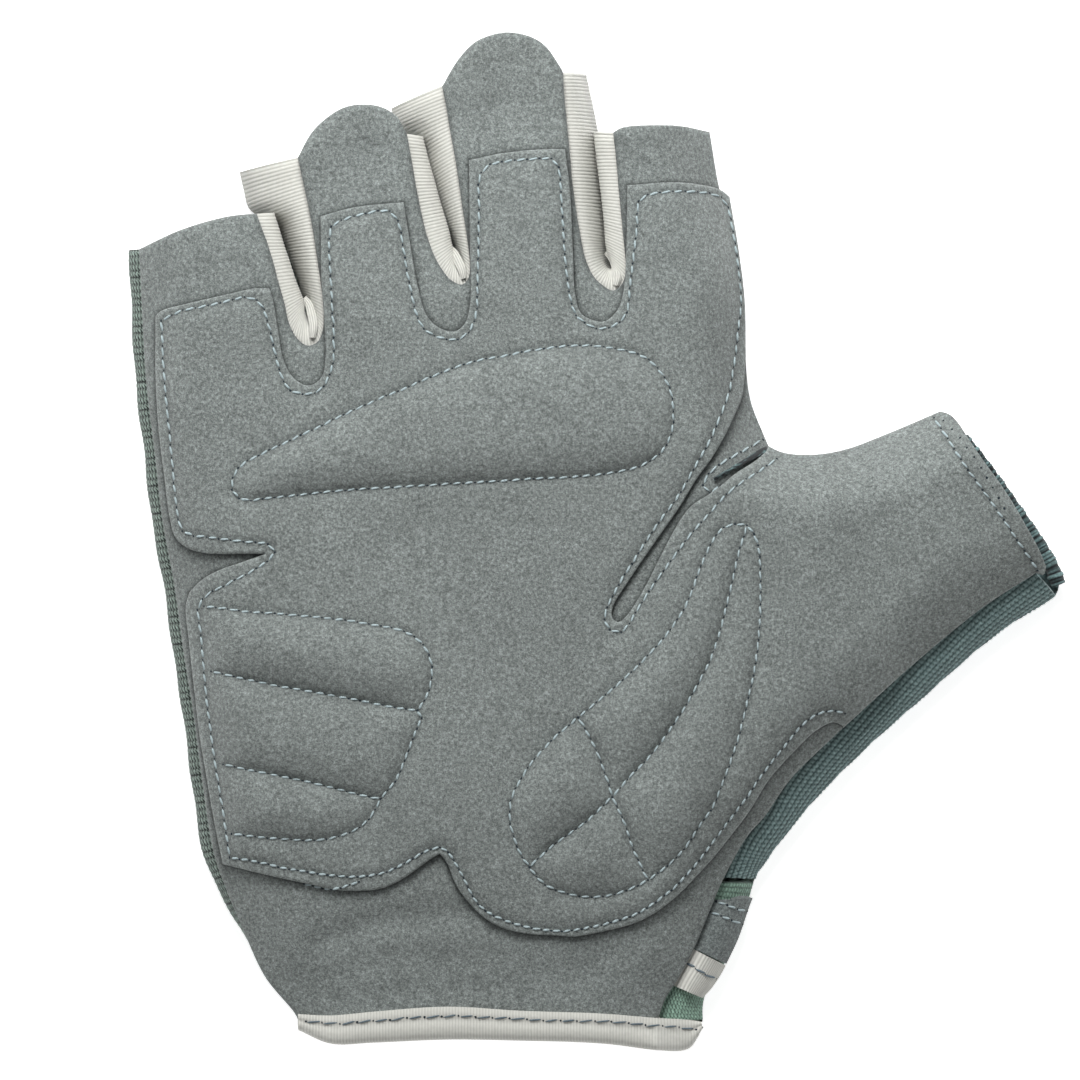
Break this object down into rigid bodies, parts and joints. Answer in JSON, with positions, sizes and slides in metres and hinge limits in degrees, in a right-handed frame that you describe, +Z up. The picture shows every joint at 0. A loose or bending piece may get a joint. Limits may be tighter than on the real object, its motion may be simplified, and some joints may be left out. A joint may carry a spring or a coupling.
{
  "type": "weightlifting glove",
  "caption": "Fingerless right-hand glove with a padded suede palm, ribbed tapes between the fingers and a bound wrist opening.",
  "frame": {"origin": "on the surface that the glove lies on, under the middle of its outline", "axes": "+X from the little-finger side to the thumb, +Y from the wrist to the fingertips, +Z up out of the palm"},
  "size_m": [0.154, 0.1678, 0.0205],
  "materials": {
    "suede": "matt blue-grey suede with a fine short nap",
    "foam": "matt closed-cell foam",
    "terry": "matt teal stretch terry",
    "green_knit": "matt green knit",
    "mesh": "matt dark mesh",
    "tape": "matt off-white ribbed tape"
  },
  "bodies": {
    "root": {"palm_panel": "suede", "palm_overlay": "suede", "back_panel": "green_knit", "thumb_back": "mesh", "knuckle_pad": "foam", "heel_pad_1": "foam", "heel_pad_2": "foam", "heel_pad_3": "foam", "thumb_pad_1": "foam", "thumb_pad_2": "foam", "thumb_pad_3": "foam", "thumb_pad_4": "foam", "fourchette_1": "tape", "fourchette_2": "tape", "fourchette_3": "tape", "side_strip": "green_knit", "thumb_strip": "terry", "wrist_knit": "green_knit", "closure_tab": "suede", "closure_tab_binding": "tape", "thumb_gusset": "mesh", "cuff_binding": "tape", "cuff_binding_back": "tape"}
  },
  "joints": []
}
